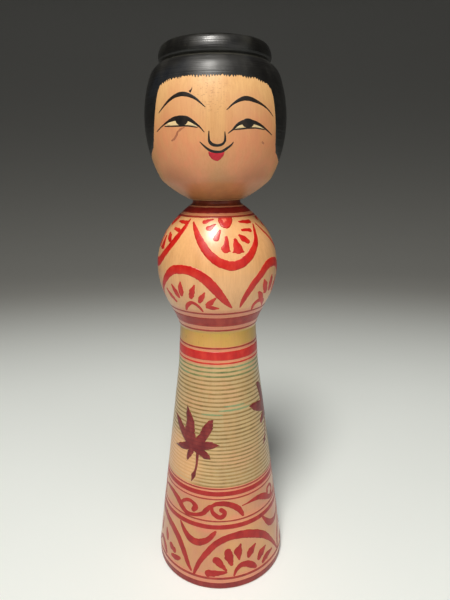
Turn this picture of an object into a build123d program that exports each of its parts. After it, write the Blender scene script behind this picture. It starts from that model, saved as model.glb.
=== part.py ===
from build123d import *
import math
import os

# Kokeshi doll, turned on a lathe from three blocks of wood: a body, a head and the peg that joins them.
# Millimetres. +Z is up, the origin is the centre of the foot, and the face looks along -Y.

# Body outline, from the floor up.
FOOT_RADIUS = 31.4
FOOT_TOP = 5.5             # height of the upright band round the foot
FOOT_EDGE = 0.8            # rounding of the foot's lower edge
SKIRT_LEAN_DEG = 7.36      # how far the skirt leans in from upright
WAIST_LOW_Z = 103.0        # where the skirt would meet the waist if nothing were rounded
WAIST_BLEND = 120.0        # radius that rounds the skirt into the waist
WAIST_TOP_Z = 122.4        # the crease under the collar
WAIST_TOP_RADIUS = 17.6
COLLAR_TOP_Z = 127.6       # the collar is the short cone between the waist and the chest
COLLAR_TOP_RADIUS = 19.5
CHEST_RADIUS = 26.9
CHEST_Z = 150.0            # height of the chest's widest ring
CHEST_LOW_ARC = 32.3       # radius of the chest's outline below its widest ring
CHEST_LOW_ARC_DEG = 28.9   # how far that arc turns before it runs straight to the collar
SHOULDER_ARC = 28.75       # radius of the chest's outline above its widest ring
SHOULDER_ARC_DEG = 37.0    # how far that arc turns before the flatter slope up to the neck
NECK_SLOPE_ARC = 44.0      # radius of the outline from there to the neck
NECK_RADIUS = 10.4
NECK_TOP = 179.0
NECK_FLARE = 1.2           # rounding where the neck runs out into the shoulder

# Underside of the foot: a shallow hollow and the marks that the lathe's drive leaves.
HOLLOW_RADIUS = 26.0
HOLLOW_DEPTH = 0.8
CENTRE_MARK_RADIUS = 1.2
CENTRE_MARK_DEPTH = 2.0
CLAW_MARKS = 4
CLAW_MARK_CIRCLE = 9.0
CLAW_MARK_SIZE = (4.0, 1.2)
CLAW_MARK_DEPTH = 1.2

# Head outline, from the neck up.
SEAT_GAP = 0.2             # between the neck's top and the head's underside
SEAT_RADIUS = 12.0         # flat ring under the head, over the neck
HEAD_RADIUS = 29.7
HEAD_Z = 211.3             # height of the head's widest ring
CHEEK_ARC = 50.0           # radius of the head's outline above and below its widest ring
CHEEK_LOW_Z = 188.6        # height where the cheeks turn in to the chin
CHEEK_TOP_Z = 227.2        # height where the head turns in to the crown
CHIN_ARC = 8.0
CHIN_ARC_DEG = 22.0
GROOVE_Z = 232.6           # height where the head meets the groove under the crown
GROOVE_TOP_Z = 233.7
GROOVE_RADIUS = 21.7       # at the bottom of the groove
GROOVE_LOW_RADIUS = 22.8   # at the groove's lower lip, which is the head's
GROOVE_TOP_RADIUS = 22.6   # at its upper lip, which is the crown's
CROWN_RADIUS = 23.1
CROWN_Z = 234.9            # height of the crown's widest ring
CROWN_WALL_ARC = 7.5       # radius of the crown's outline above its widest ring
CROWN_WALL_DEG = 29.0      # how far that arc turns
CROWN_EDGE_ARC = 3.4       # rounding of the crown's edge, above that
CROWN_EDGE_DEG = 47.0      # how far that rounding turns before the crown's flat dome

# Neck joint: the peg is glued into the head and snaps into an undercut socket in the body.
TENON_RADIUS = 6.5
TENON_LENGTH = 24.0
STEM_RADIUS = 5.9
BULB_RADIUS = 6.8
BULB_TOP = 173.6
BULB_LENGTH = 4.0
NOSE_RADIUS = 4.4
NOSE_LENGTH = 3.4
RUNNING_GAP = 0.1          # between the stem and the socket's mouth
SOCKET_LIP = 4.8           # length of the socket's mouth, below which it widens
CHAMBER_RADIUS = 7.2
CHAMBER_LENGTH = 8.6
BORE_END_GAP = 0.6         # room for glue above the tenon


def save(part, name):
    """Labels a finished piece and writes it as its own STEP file."""
    part.label = name
    export_step(part, f"parts/{name}.step")
    print(name, "volume", round(part.volume), "mm3")


os.makedirs("parts", exist_ok=True)

# ---------------------------------------------------------------- body
skirt_run = WAIST_LOW_Z - FOOT_TOP
waist_low_radius = FOOT_RADIUS - skirt_run * math.tan(math.radians(SKIRT_LEAN_DEG))
shoulder_turn = math.radians(SHOULDER_ARC_DEG)
slope_start_radius = CHEST_RADIUS - SHOULDER_ARC * (1 - math.cos(shoulder_turn))
slope_centre_radius = slope_start_radius - NECK_SLOPE_ARC * math.cos(shoulder_turn)
neck_turn = math.degrees(math.acos((NECK_RADIUS - slope_centre_radius) / NECK_SLOPE_ARC))

with BuildPart() as body:
    with BuildSketch(Plane.XZ):
        with BuildLine():
            Polyline((0, 0), (FOOT_RADIUS, 0), (FOOT_RADIUS, FOOT_TOP))
            FilletPolyline(
                (FOOT_RADIUS, FOOT_TOP),
                (waist_low_radius, WAIST_LOW_Z),
                (WAIST_TOP_RADIUS, WAIST_TOP_Z),
                radius=WAIST_BLEND,
            )
            chest_low = JernArc((CHEST_RADIUS, CHEST_Z), (0, -1), CHEST_LOW_ARC, -CHEST_LOW_ARC_DEG)
            Polyline((WAIST_TOP_RADIUS, WAIST_TOP_Z), (COLLAR_TOP_RADIUS, COLLAR_TOP_Z), chest_low @ 1)
            shoulder = JernArc((CHEST_RADIUS, CHEST_Z), (0, 1), SHOULDER_ARC, SHOULDER_ARC_DEG)
            neck_slope = JernArc(shoulder @ 1, shoulder % 1, NECK_SLOPE_ARC, neck_turn - SHOULDER_ARC_DEG)
            Polyline(neck_slope @ 1, (NECK_RADIUS, NECK_TOP), (0, NECK_TOP), (0, 0))
        make_face()
    revolve(axis=Axis.Z)
    foot_edge = body.edges().filter_by(GeomType.CIRCLE).group_by(Axis.Z)[0].sort_by(SortBy.RADIUS)[-1]
    fillet(foot_edge, FOOT_EDGE)
    neck_edges = body.edges().filter_by(GeomType.CIRCLE).filter_by(
        lambda edge: math.isclose(edge.radius, NECK_RADIUS)
    )
    fillet(neck_edges.sort_by(Axis.Z)[0], NECK_FLARE)

    # The socket: a mouth that the stem turns in, and a wider chamber that holds the bulb down.
    lip_z = NECK_TOP - SOCKET_LIP
    with BuildSketch(Plane.XZ):
        with BuildLine():
            Polyline(
                (0, NECK_TOP),
                (STEM_RADIUS + RUNNING_GAP, NECK_TOP),
                (STEM_RADIUS + RUNNING_GAP, lip_z),
                (CHAMBER_RADIUS, lip_z),
                (CHAMBER_RADIUS, lip_z - CHAMBER_LENGTH),
                (0, lip_z - CHAMBER_LENGTH - CHAMBER_RADIUS / 2),
                (0, NECK_TOP),
            )
        make_face()
    revolve(axis=Axis.Z, mode=Mode.SUBTRACT)

    # The underside: a shallow dish, the centre prick and the drive's claw marks.
    with BuildSketch(Plane.XZ):
        with BuildLine():
            ThreePointArc(
                (HOLLOW_RADIUS, 0),
                (HOLLOW_RADIUS / 2, HOLLOW_DEPTH * 0.75),
                (0, HOLLOW_DEPTH),
            )
            Polyline((0, HOLLOW_DEPTH), (0, 0), (HOLLOW_RADIUS, 0))
        make_face()
    revolve(axis=Axis.Z, mode=Mode.SUBTRACT)
    with BuildSketch(Plane.XY):
        Circle(CENTRE_MARK_RADIUS)
    extrude(amount=HOLLOW_DEPTH + CENTRE_MARK_DEPTH, mode=Mode.SUBTRACT)
    with BuildSketch(Plane.XY):
        with PolarLocations(CLAW_MARK_CIRCLE, CLAW_MARKS):
            SlotOverall(*CLAW_MARK_SIZE)
    extrude(amount=HOLLOW_DEPTH + CLAW_MARK_DEPTH, mode=Mode.SUBTRACT)

save(body.part, "body")

# ---------------------------------------------------------------- head
seat_z = NECK_TOP + SEAT_GAP
cheek_low_turn = math.degrees(math.asin((HEAD_Z - CHEEK_LOW_Z) / CHEEK_ARC))
cheek_top_turn = math.degrees(math.asin((CHEEK_TOP_Z - HEAD_Z) / CHEEK_ARC))
dome_turn = math.radians(CROWN_WALL_DEG + CROWN_EDGE_DEG)

with BuildPart() as head:
    with BuildSketch(Plane.XZ):
        with BuildLine():
            cheek = JernArc((HEAD_RADIUS, HEAD_Z), (0, -1), CHEEK_ARC, -cheek_low_turn)
            chin = JernArc(cheek @ 1, cheek % 1, CHIN_ARC, -CHIN_ARC_DEG)
            TangentArc(chin @ 1, (SEAT_RADIUS, seat_z), tangent=chin % 1)
            brow = JernArc((HEAD_RADIUS, HEAD_Z), (0, 1), CHEEK_ARC, cheek_top_turn)
            TangentArc(brow @ 1, (GROOVE_LOW_RADIUS, GROOVE_Z), tangent=brow % 1)
            Polyline(
                (GROOVE_LOW_RADIUS, GROOVE_Z),
                (GROOVE_RADIUS, GROOVE_Z + (GROOVE_TOP_Z - GROOVE_Z) / 3),
                (GROOVE_RADIUS, GROOVE_TOP_Z - (GROOVE_TOP_Z - GROOVE_Z) / 6),
                (GROOVE_TOP_RADIUS, GROOVE_TOP_Z),
            )
            TangentArc((CROWN_RADIUS, CROWN_Z), (GROOVE_TOP_RADIUS, GROOVE_TOP_Z), tangent=(0, -1))
            wall = JernArc((CROWN_RADIUS, CROWN_Z), (0, 1), CROWN_WALL_ARC, CROWN_WALL_DEG)
            edge = JernArc(wall @ 1, wall % 1, CROWN_EDGE_ARC, CROWN_EDGE_DEG)
            dome_start = edge @ 1
            top_z = dome_start.Y + dome_start.X * (1 - math.sin(dome_turn)) / math.cos(dome_turn)
            TangentArc(dome_start, (0, top_z), tangent=edge % 1)
            Polyline((0, top_z), (0, seat_z), (SEAT_RADIUS, seat_z))
        make_face()
    revolve(axis=Axis.Z)
    # The blind hole that the peg's tenon is glued into.
    with BuildSketch(Plane.XY.offset(seat_z)):
        Circle(TENON_RADIUS)
    extrude(amount=TENON_LENGTH + BORE_END_GAP, mode=Mode.SUBTRACT)

save(head.part, "head")

# ---------------------------------------------------------------- neck peg
with BuildPart() as neck_peg:
    with BuildSketch(Plane.XZ):
        with BuildLine():
            Polyline(
                (0, BULB_TOP - BULB_LENGTH - NOSE_LENGTH),
                (NOSE_RADIUS, BULB_TOP - BULB_LENGTH - NOSE_LENGTH),
                (BULB_RADIUS, BULB_TOP - BULB_LENGTH),
                (BULB_RADIUS, BULB_TOP),
                (STEM_RADIUS, BULB_TOP),
                (STEM_RADIUS, seat_z),
                (TENON_RADIUS, seat_z),
                (TENON_RADIUS, seat_z + TENON_LENGTH),
                (0, seat_z + TENON_LENGTH),
                (0, BULB_TOP - BULB_LENGTH - NOSE_LENGTH),
            )
        make_face()
    revolve(axis=Axis.Z)
    tenon_top = neck_peg.edges().filter_by(GeomType.CIRCLE).group_by(Axis.Z)[-1]
    chamfer(tenon_top, 0.8)

save(neck_peg.part, "neck_peg")
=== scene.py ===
"""A kokeshi doll's looks, built round its CAD frame: waxed turned wood, brushed ink and black lacquer.

Metres, +Z up, the face looks along -Y. A place on the doll is (angle, height): the angle in degrees
from the front, positive towards +X, and the height in millimetres above the foot.
"""
import math
import random

import bpy
import numpy as np
from mathutils import Matrix, Vector
from mathutils.geometry import delaunay_2d_cdt


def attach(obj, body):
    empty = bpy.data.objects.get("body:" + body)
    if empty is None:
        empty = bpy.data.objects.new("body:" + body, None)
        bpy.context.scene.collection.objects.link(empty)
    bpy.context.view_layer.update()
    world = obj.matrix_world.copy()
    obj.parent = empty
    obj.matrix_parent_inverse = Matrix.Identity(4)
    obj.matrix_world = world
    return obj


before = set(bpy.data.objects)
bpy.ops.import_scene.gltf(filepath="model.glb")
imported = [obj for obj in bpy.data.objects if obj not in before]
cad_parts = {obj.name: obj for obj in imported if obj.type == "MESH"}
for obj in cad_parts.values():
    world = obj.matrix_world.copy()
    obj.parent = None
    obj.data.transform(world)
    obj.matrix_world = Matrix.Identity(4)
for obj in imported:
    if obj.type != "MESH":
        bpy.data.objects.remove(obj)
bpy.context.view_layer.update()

MM = 0.001
random.seed(8)

# ------------------------------------------------------------------ the turned surface

NECK_LIMIT = 10.2          # body points nearer the axis than this are the joint's inside
FOOT_LIMIT = 30.0          # those nearer than this and lower than DISH_TOP are the underside
DISH_TOP = 8.0
HEAD_LIMIT = 11.8          # head points nearer than this and lower than CROWN_LOW are its blind hole
CROWN_LOW = 230.0


def outline(node, keep):
    """The outer outline of a turned CAD node as sorted heights and radii, in millimetres."""
    co = np.array([v.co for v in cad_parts[node].data.vertices]) / MM
    r, z = np.hypot(co[:, 0], co[:, 1]), co[:, 2]
    mask = keep(r, z)
    rings = {}
    for ri, zi in zip(r[mask], z[mask]):
        rings.setdefault(round(float(zi), 3), []).append(float(ri))
    heights = sorted(rings)
    return np.array(heights), np.array([max(rings[h]) for h in heights])


BODY = outline("body", lambda r, z: (r > NECK_LIMIT) & ~((z < DISH_TOP) & (r < FOOT_LIMIT)))
HEAD = outline("head", lambda r, z: (r > HEAD_LIMIT) | (z > CROWN_LOW))
NECK_TOP = float(BODY[0][-1])
HEAD_TOP = float(HEAD[0][-1])


def radius(shape, z):
    """The radius of a turned surface at a height."""
    return float(np.interp(z, shape[0], shape[1]))


def slope(shape, z):
    """How fast the radius grows with height."""
    reach = 0.3
    lo, hi = max(z - reach, shape[0][0]), min(z + reach, shape[0][-1])
    return (radius(shape, hi) - radius(shape, lo)) / max(hi - lo, 1e-6)


def place(shape, angle, z, lift=0.0):
    """The point at an angle and height on a turned surface, lifted off it, in metres."""
    s = slope(shape, z)
    n = math.hypot(1.0, s)
    r = radius(shape, z) + lift / n
    a = math.radians(angle)
    return (r * math.sin(a) * MM, -r * math.cos(a) * MM, (z - lift * s / n) * MM)


# ------------------------------------------------------------------ paint films

SINK = 0.09                # how far a film's back lies under the wood, in millimetres
INK = 0.035                # how far ink stands off the wood
LACQUER = 0.07             # and how far the hair's lacquer does
RING_STEP = 0.21           # how far a ring's wavering line runs between two of its steps


class Film:
    """Collects closed paint films on one turned surface and makes them into one piece."""

    def __init__(self, name, shape, body, slot, material, lift=INK):
        self.name, self.shape, self.body, self.slot = name, shape, body, slot
        self.material, self.lift = material, lift
        self.verts, self.faces = [], []
        self.layers = 0

    def step(self):
        """The lift of the next sheet: five heights in turn, so that crossing sheets share none."""
        self.layers += 1
        return self.lift + 0.003 * (self.layers % 5)

    def sheet(self, rows, lifts, wrap=False):
        """A grid of (angle, height) places as a closed film; lifts has one lift for every column."""
        n, m = len(rows), len(rows[0])
        base = len(self.verts)
        for row in rows:
            self.verts += [place(self.shape, a, z, h) for (a, z), h in zip(row, lifts)]
        for row in rows:
            self.verts += [place(self.shape, a, z, -SINK) for a, z in row]
        back = base + n * m

        def quad(start, i, j):
            i2 = (i + 1) % n
            return [start + i * m + j, start + i * m + j + 1, start + i2 * m + j + 1, start + i2 * m + j]

        last = n if wrap else n - 1
        for i in range(last):
            for j in range(m - 1):
                self.faces.append(quad(base, i, j))
                self.faces.append(quad(back, i, j)[::-1])
            i2 = (i + 1) % n
            for j, flip in ((0, False), (m - 1, True)):
                side = [base + i * m + j, base + i2 * m + j, back + i2 * m + j, back + i * m + j]
                self.faces.append(side[::-1] if flip else side)
        if not wrap:
            for i, flip in ((0, True), (n - 1, False)):
                for j in range(m - 1):
                    side = [base + i * m + j, base + i * m + j + 1, back + i * m + j + 1, back + i * m + j]
                    self.faces.append(side[::-1] if flip else side)

    def stroke(self, points, rough=0.035, spacing=0.45, turn=0.0):
        """A brush stroke through (angle, height, width) points, with rounded ends and uneven edges."""
        path = smooth([(a + turn, z, w) for a, z, w in points], spacing, self.shape)
        rows, edges = [], [Wobble(), Wobble()]
        high = self.step()
        across = (-1.0, -0.82, -0.4, 0.0, 0.4, 0.82, 1.0)
        lifts = [0.0 if abs(f) == 1 else high * (1 - 0.35 * f * f) for f in across]
        for a, z, w, ta, tz, run in path:
            r, m = radius(self.shape, z), math.hypot(1.0, slope(self.shape, z))
            sides = [w / 2 * (1 + rough * 2 * e.at(run)) + rough * 0.5 * e.at(run * 2.7 + 50)
                     for e in edges]
            row = []
            for f in across:
                o = f * max(sides[0] if f < 0 else sides[1], 0.02)
                row.append((a + math.degrees(-tz * o / r), z + ta * o / m))
            rows.append(row)
        self.sheet(rows, lifts)

    def ring(self, z0, z1, waver=0.05, steps=240):
        """A band all the way round, put on with a brush while the wood turned."""
        high = self.step()
        low, top = Wobble(period=steps), Wobble(period=steps)
        spans, margin = max(2, int((z1 - z0) / 0.5) + 1), 0.08
        across = [0.0] + [margin + (1 - 2 * margin) * k / spans for k in range(spans + 1)] + [1.0]
        lifts = [0.0] + [high] * (len(across) - 2) + [0.0]
        rows = []
        for i in range(steps):
            a = 360.0 * i / steps
            lo, hi = z0 + waver * low.at(i * RING_STEP), z1 + waver * top.at(i * RING_STEP)
            rows.append([(a, lo + (hi - lo) * f) for f in across])
        self.sheet(rows, lifts, wrap=True)

    def patch(self, corners, grid=0.7, rough=0.06):
        """A filled shape inside a closed outline of (angle, height) corners."""
        spacing, bevel = 0.35, 0.06
        mid = sum(z for _, z in corners) / len(corners)
        scale = math.radians(1) * radius(self.shape, mid)
        flat = uneven([(a * scale, z) for a, z in corners], spacing, rough)
        n = len(flat)
        xs, zs = [p[0] for p in flat], [p[1] for p in flat]
        inner = []
        z = min(zs) + grid / 2
        while z < max(zs):
            x = min(xs) + grid / 2
            while x < max(xs):
                if inside(x, z, flat) and nearest(x, z, flat) > 0.35 * grid:
                    inner.append((x, z))
                x += grid
            z += grid
        pts = [Vector(p) for p in flat + inner]
        border = [(i, (i + 1) % n) for i in range(n)]
        co, _, tris = delaunay_2d_cdt(pts, border, [], 1, 1e-5)[:3]
        high = self.step()
        base, count = len(self.verts), len(co)
        for p in co:
            near = nearest(p[0], p[1], flat)
            self.verts.append(place(self.shape, p[0] / scale, p[1], high * min(1.0, near / bevel)))
        for p in co:
            self.verts.append(place(self.shape, p[0] / scale, p[1], -SINK))
        edges = []
        for t in tris:
            t = list(t)
            area = sum(co[i][0] * co[j][1] - co[j][0] * co[i][1] for i, j in zip(t, t[1:] + t[:1]))
            if area < 0:
                t = t[::-1]
            self.faces.append([base + k for k in t])
            self.faces.append([base + count + k for k in t[::-1]])
            edges += zip(t, t[1:] + t[:1])
        known = set(edges)
        for i, j in edges:
            if (j, i) not in known:
                self.faces.append([base + j, base + i, base + count + i, base + count + j])

    def make(self):
        """Makes the sheets into one piece that rides on its body."""
        mesh = bpy.data.meshes.new(self.name)
        mesh.from_pydata(self.verts, [], self.faces)
        mesh.validate()
        mesh.shade_smooth()
        mesh.materials.append(self.material)
        piece = bpy.data.objects.new(self.name, mesh)
        bpy.context.scene.collection.objects.link(piece)
        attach(piece, self.body)


class Wobble:
    """A smooth random line between -1 and 1, the same on every run; with a period, it joins up."""

    COUNT = 64

    def __init__(self, period=None):
        self.values = [random.uniform(-1, 1) for _ in range(self.COUNT)]
        self.period = period

    def at(self, x):
        """The line's value at x."""
        if self.period:
            span = self.period * RING_STEP
            k = max(1, round(span))
            x = (x % span) / span * k
            i = int(x) % k
            a, b = self.values[i % self.COUNT], self.values[(i + 1) % k % self.COUNT]
        else:
            i = int(math.floor(x))
            a, b = self.values[i % self.COUNT], self.values[(i + 1) % self.COUNT]
        t = x - math.floor(x)
        t = t * t * (3 - 2 * t)
        return a + (b - a) * t


def smooth(points, spacing, shape):
    """A curve through (angle, height, width) points, with rounded ends.

    Each of its points is [angle, height, width, direction across, direction up, run so far].
    """
    p = [np.array(q, float) for q in points]
    p = [2 * p[0] - p[1]] + p + [2 * p[-1] - p[-2]]
    dense = []
    for k in range(1, len(p) - 2):
        p0, p1, p2, p3 = p[k - 1:k + 3]
        r = radius(shape, p1[1]) * math.radians(1)
        length = math.hypot((p2[0] - p1[0]) * r, p2[1] - p1[1])
        n = max(2, int(length / spacing) + 1)
        for i in range(n):
            t = i / n
            q = 0.5 * (2 * p1 + (p2 - p0) * t + (2 * p0 - 5 * p1 + 4 * p2 - p3) * t * t
                       + (3 * p1 - p0 - 3 * p2 + p3) * t ** 3)
            dense.append(q)
    dense.append(p[-2])
    out, run = [], 0.0
    for i, q in enumerate(dense):
        a, b = dense[max(i - 1, 0)], dense[min(i + 1, len(dense) - 1)]
        r, m = radius(shape, q[1]) * math.radians(1), math.hypot(1.0, slope(shape, q[1]))
        tx, tz = (b[0] - a[0]) * r, (b[1] - a[1]) * m
        d = math.hypot(tx, tz) or 1.0
        if i:
            last = dense[i - 1]
            run += math.hypot((q[0] - last[0]) * r, (q[1] - last[1]) * m)
        out.append([q[0], q[1], max(q[2], 0.05), tx / d, tz / d, run])
    capped = []
    for end, sign in ((0, -1.0), (-1, 1.0)):
        a, z, w, tx, tz, run0 = out[end]
        r, m = radius(shape, z) * math.radians(1), math.hypot(1.0, slope(shape, z))
        cap = []
        for f in (0.35, 0.65, 0.88, 1.0):
            d = f * w / 2
            width = w * math.sqrt(max(1 - f * f, 0.0)) + 0.04
            cap.append([a + sign * tx * d / r, z + sign * tz * d / m, width, tx, tz, run0 + sign * d])
        capped.append(cap)
    return capped[0][::-1] + out + capped[1]


def uneven(corners, spacing, rough):
    """A closed outline resampled finely, its edge a little uneven."""
    out, w, run = [], Wobble(), 0.0
    for (x0, z0), (x1, z1) in zip(corners, corners[1:] + corners[:1]):
        d = math.hypot(x1 - x0, z1 - z0)
        n = max(1, round(d / spacing))
        for k in range(n):
            t = k / n
            e = w.at(run + d * t * 1.3) * rough
            out.append((x0 + (x1 - x0) * t - (z1 - z0) / d * e, z0 + (z1 - z0) * t + (x1 - x0) / d * e))
        run += d * 1.3
    return out


def inside(x, z, loop):
    """Whether a point lies inside a closed outline."""
    hit = False
    for (x0, z0), (x1, z1) in zip(loop, loop[1:] + loop[:1]):
        if (z0 > z) != (z1 > z) and x < (x1 - x0) * (z - z0) / (z1 - z0) + x0:
            hit = not hit
    return hit


def nearest(x, z, loop):
    """How far a point lies from a closed outline."""
    best = math.inf
    for (x0, z0), (x1, z1) in zip(loop, loop[1:] + loop[:1]):
        dx, dz = x1 - x0, z1 - z0
        t = max(0.0, min(1.0, ((x - x0) * dx + (z - z0) * dz) / max(dx * dx + dz * dz, 1e-12)))
        best = min(best, math.hypot(x - x0 - t * dx, z - z0 - t * dz))
    return best


def turned(points, turn, rise=0.0, stretch=1.0):
    """Points carried round the doll; copies are put down a little differently, as by hand."""
    copy = bool(turn)
    return [(p[0] * stretch + turn + random.uniform(-0.5, 0.5) * copy,
             p[1] + rise + random.uniform(-0.2, 0.2) * copy, *p[2:]) for p in points]


# ------------------------------------------------------------------ materials

def srgb(r, g, b):
    """A colour given as 0-255 screen values, as the linear values a shader takes."""
    def lin(c):
        c /= 255.0
        return c / 12.92 if c <= 0.04045 else ((c + 0.055) / 1.055) ** 2.4
    return (lin(r), lin(g), lin(b), 1.0)


class Nodes:
    """A short way to write a material's nodes."""

    def __init__(self, name):
        self.material = bpy.data.materials.new(name)
        self.material.use_nodes = True
        self.tree = self.material.node_tree
        self.shader = self.tree.nodes["Principled BSDF"]
        self.coords = self.add("ShaderNodeTexCoord").outputs["Object"]

    def add(self, kind, **values):
        node = self.tree.nodes.new(kind)
        for key, value in values.items():
            setattr(node, key, value)
        return node

    def link(self, source, target):
        self.tree.links.new(source, target)

    def scaled(self, x, y, z):
        node = self.add("ShaderNodeMapping")
        node.inputs["Scale"].default_value = (x, y, z)
        self.link(self.coords, node.inputs["Vector"])
        return node.outputs["Vector"]

    def noise(self, scale, detail=3.0, stretch=(1, 1, 1), rough=0.55):
        node = self.add("ShaderNodeTexNoise")
        node.inputs["Scale"].default_value = scale
        node.inputs["Detail"].default_value = detail
        node.inputs["Roughness"].default_value = rough
        self.link(self.scaled(*stretch), node.inputs["Vector"])
        return node.outputs["Fac"]

    def ramp(self, value, low, high, out_low=0.0, out_high=1.0, soft=True):
        node = self.add("ShaderNodeMapRange", interpolation_type="SMOOTHSTEP" if soft else "LINEAR")
        for key, v in (("From Min", low), ("From Max", high), ("To Min", out_low), ("To Max", out_high)):
            node.inputs[key].default_value = v
        self.link(value, node.inputs["Value"])
        return node.outputs["Result"]

    def math(self, how, a, b=None):
        node = self.add("ShaderNodeMath", operation=how)
        for slot, v in zip(node.inputs, (a, b)):
            if v is None:
                continue
            if isinstance(v, (int, float)):
                slot.default_value = v
            else:
                self.link(v, slot)
        return node.outputs["Value"]

    def mix(self, factor, a, b):
        """One colour laid over another; inputs 6 and 7 and output 2 are the node's colour sockets."""
        node = self.add("ShaderNodeMix", data_type="RGBA")
        for slot, v in ((node.inputs["Factor"], factor), (node.inputs[6], a), (node.inputs[7], b)):
            if isinstance(v, (int, float, tuple)):
                slot.default_value = v
            else:
                self.link(v, slot)
        return node.outputs[2]

    def times(self, a, b):
        return self.math("MULTIPLY", a, b)

    def band(self, z, low, high):
        """1 between two heights and 0 beyond them; each is given as the two ends of its soft edge."""
        return self.times(self.ramp(z, *low), self.ramp(z, *high))

    def height(self):
        node = self.add("ShaderNodeSeparateXYZ")
        self.link(self.coords, node.inputs["Vector"])
        return node.outputs["Z"]

    def stops(self, value, stops):
        """A colour ramp with (position, colour) stops."""
        node = self.add("ShaderNodeValToRGB")
        el = node.color_ramp.elements
        while len(el) > 1:
            el.remove(el[0])
        el[0].position, el[0].color = stops[0]
        for position, colour in stops[1:]:
            e = el.new(position)
            e.color = colour
        self.link(value, node.inputs["Fac"])
        return node.outputs["Color"]

    def distance(self, point):
        """How far the shaded place lies from a point of the object."""
        node = self.add("ShaderNodeVectorMath", operation="DISTANCE")
        self.link(self.coords, node.inputs[0])
        node.inputs[1].default_value = point
        return node.outputs["Value"]

    def bump(self, height, strength, distance, under=None):
        node = self.add("ShaderNodeBump")
        node.inputs["Strength"].default_value = strength
        node.inputs["Distance"].default_value = distance
        self.link(height, node.inputs["Height"])
        if under is not None:
            self.link(under, node.inputs["Normal"])
        return node.outputs["Normal"]

    def finish(self, colour, roughness, normal, coat=0.0, coat_roughness=0.2):
        s = self.shader.inputs
        self.link(colour, s["Base Color"])
        self.link(roughness, s["Roughness"])
        self.link(normal, s["Normal"])
        s["IOR"].default_value = 1.5
        s["Coat Weight"].default_value = coat
        s["Coat Roughness"].default_value = coat_roughness
        return self.material


GRAIN = (1, 1, 0.045)      # the wood's fibres run along the lathe's axis
TURNED = (0.02, 0.02, 1)   # marks left by the tool run round it


def wood_grain(n, colour, contrast=1.0):
    """Lays fibre streaks, pores and slow blotches over a colour; gives it and the streaks."""
    streaks = n.noise(1500, 4, GRAIN, 0.65)
    broad = n.noise(260, 3, GRAIN, 0.6)
    blotch = n.noise(45, 3, (1, 1, 0.7))
    colour = n.mix(n.ramp(streaks, 0.35, 0.72, 0.0, 0.22 * contrast), colour, srgb(176, 112, 58))
    colour = n.mix(n.ramp(broad, 0.42, 0.72, 0.0, 0.30 * contrast), colour, srgb(196, 134, 76))
    colour = n.mix(n.ramp(blotch, 0.45, 0.75, 0.0, 0.25 * contrast), colour, srgb(240, 190, 122))
    pores = n.noise(5200, 2, (1, 1, 0.08), 0.5)
    return n.mix(n.ramp(pores, 0.66, 0.78, 0.0, 0.35 * contrast), colour, srgb(120, 70, 36)), streaks


def wood_finish(n, colour, streaks, roughness=(0.36, 0.52), coat=0.8):
    """Wax over turned wood: fibres and fine tool rings stand in the surface."""
    rings = n.noise(1400, 2, TURNED, 0.4)
    smudge = n.noise(70, 4)
    normal = n.bump(streaks, 0.10, 0.00012)
    normal = n.bump(rings, 0.10, 0.00015, normal)
    rough = n.ramp(n.math("ADD", n.times(streaks, 0.4), n.times(smudge, 0.6)), 0.35, 0.65, *roughness)
    return n.finish(colour, rough, normal, coat=coat, coat_roughness=0.31)


FIRST_LINE = 106.7         # the height of the highest of the skirt's thin turned lines
FIRST_PITCH, LAST_PITCH = 2.02, 1.66       # how far apart the lines lie at the top and at the bottom
LINES = 31


def line_height(k):
    """The height of the k-th skirt line; the lines crowd together downwards."""
    return FIRST_LINE - FIRST_PITCH * k - (LAST_PITCH - FIRST_PITCH) / (LINES - 1) * k * (k - 1) / 2


def near_line(n, z):
    """1 on a skirt line, falling softly to 0 half-way to the next."""
    a = (LAST_PITCH - FIRST_PITCH) / (LINES - 1) / 2    # line_height(k) is FIRST_LINE - b k - a k^2
    b = FIRST_PITCH - a
    down = n.times(n.math("SUBTRACT", FIRST_LINE * MM, z), 4 * a / MM)
    root = n.math("SQRT", n.math("MAXIMUM", n.math("ADD", down, b * b), 0.0))
    k = n.times(n.math("SUBTRACT", root, b), 0.5 / a)
    off = n.math("ABSOLUTE", n.math("SUBTRACT", n.math("FRACT", n.math("ADD", k, 0.5)), 0.5))
    return n.ramp(off, 0.42, 0.05)


BARE_WOOD = srgb(223, 169, 115)
TINT_TOP = 180.0           # the body's tints are given by height up to here, in millimetres


def bare_patch(n, most):
    """`most` on the left of the skirt, where the lines are worn off, falling to 0 around it."""
    return n.ramp(n.distance(place(BODY, -57, 59)), 0.0185, 0.0095, 0.0, most)


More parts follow.
